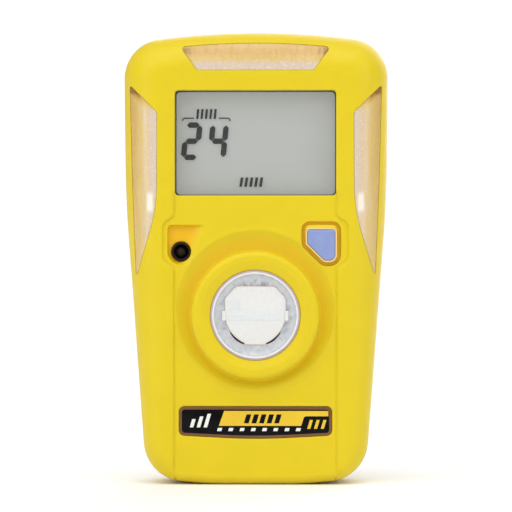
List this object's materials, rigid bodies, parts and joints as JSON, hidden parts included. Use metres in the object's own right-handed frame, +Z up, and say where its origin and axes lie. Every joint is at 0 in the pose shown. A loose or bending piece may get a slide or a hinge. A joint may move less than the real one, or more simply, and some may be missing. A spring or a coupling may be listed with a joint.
{
  "type": "portable gas detector",
  "caption": "Clip-on single-gas detector: yellow case with alarm windows, a small display, a push button, a sounder port and a round sensor port.",
  "frame": {"origin": "middle of the bounding box's lowest face, where the case stands on its bottom edge", "axes": "+X to the right seen from the front, +Y from the display towards the clip, +Z up"},
  "size_m": [0.051, 0.028, 0.0869],
  "materials": {
    "yellow_plastic": "fine satin moulded",
    "frosted_lens": "frosted translucent",
    "clear_lens": "clear polished",
    "display_glass": "reflective liquid crystal panel",
    "white_plastic": "matt",
    "sensor_ring": "translucent polished",
    "blue_key": "matt",
    "black_rubber": "matt",
    "black_plastic": "matt",
    "name_plate": "glossy printed",
    "board_green": "solder mask",
    "cell_wrap": "shrink wrapped",
    "gold": "plated",
    "steel": "nickel plated",
    "screw_steel": "satin"
  },
  "bodies": {
    "case": {"alarm_led_left": "white_plastic", "alarm_led_right": "white_plastic", "alarm_led_top_left": "white_plastic", "alarm_led_top_right": "white_plastic", "alarm_lens_left": "frosted_lens", "alarm_lens_right": "frosted_lens", "alarm_lens_top": "frosted_lens", "backlight_diffuser": "white_plastic", "battery_cell": "cell_wrap", "battery_pad": "black_rubber", "battery_tab_negative": "steel", "battery_tab_positive": "steel", "button_collar": "yellow_plastic", "button_switch": "black_plastic", "buzzer": "black_plastic", "buzzer_grommet": "black_rubber", "buzzer_inductor": "black_plastic", "case_seal": "black_rubber", "circuit_board": "board_green", "clip_base": "steel", "clip_pin": "steel", "clip_screw": "screw_steel", "clip_spring": "steel", "clock_crystal": "steel", "controller_chip": "black_plastic", "cover_screw_1": "screw_steel", "cover_screw_2": "screw_steel", "cover_screw_3": "screw_steel", "cover_screw_4": "screw_steel", "display_frame": "black_plastic", "display_panel": "display_glass", "display_window": "clear_lens", "front_cover": "yellow_plastic", "motor_cradle": "black_rubber", "name_plate": "name_plate", "rear_cover": "yellow_plastic", "rear_label": "white_plastic", "sensor_amplifier": "black_plastic", "sensor_cell": "white_plastic", "sensor_filter": "white_plastic", "sensor_gasket": "black_rubber", "sensor_pin_1": "gold", "sensor_pin_2": "gold", "sensor_pin_3": "gold", "sensor_retainer": "sensor_ring", "vibration_motor": "steel", "zebra_strip_lower": "black_rubber", "zebra_strip_upper": "black_rubber"},
    "button": {"push_button": "blue_key", "switch_plunger": "white_plastic"},
    "lever": {"clip_lever": "steel"},
    "vibrator": {"motor_shaft": "steel", "motor_weight": "screw_steel"}
  },
  "joints": [
    {"name": "button_press", "type": "slide", "parent": "case", "child": "button", "axis": [0, 1, 0], "range_m": [0, 0.0005], "stiffness_N_per_m": 400},
    {"name": "clip_squeeze", "type": "hinge", "parent": "case", "child": "lever", "pos_m": [0, 0.0104, 0.058], "axis": [1, 0, 0], "range_deg": [0, 14], "stiffness_Nm_per_rad": 0.6, "deforming": ["clip_spring"]},
    {"name": "motor_spin", "type": "hinge", "parent": "case", "child": "vibrator", "pos_m": [0, 0.0023, 0.048], "axis": [1, 0, 0], "continuous": true}
  ]
}
